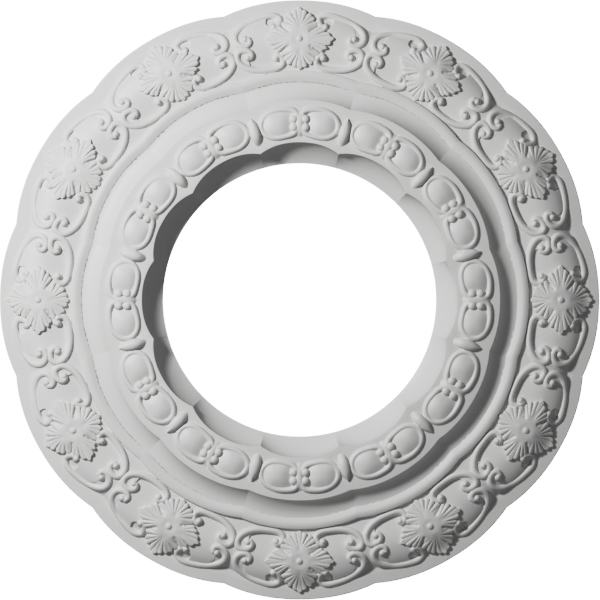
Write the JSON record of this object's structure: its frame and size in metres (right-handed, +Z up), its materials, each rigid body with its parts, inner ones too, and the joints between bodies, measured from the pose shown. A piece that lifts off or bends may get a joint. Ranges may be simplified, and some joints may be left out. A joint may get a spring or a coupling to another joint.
{
  "type": "ceiling rose",
  "caption": "Ring-shaped ceiling rose with a lobed rim, rosette and scroll frieze, bead, stepped cove and a band of small cartouches round a wide round opening.",
  "frame": {"origin": "on the axis of the ring, in the plane of its flat back, where it is fixed to the ceiling", "axes": "+Z up along the ring's axis into the ceiling, so the ornament faces down, -Z; +X and +Y each run through the middle of a lobe"},
  "size_m": [0.39, 0.39, 0.0256],
  "materials": {
    "moulded_white": "smooth primed matt white"
  },
  "bodies": {
    "root": {"ceiling_rose": "moulded_white"}
  },
  "joints": []
}
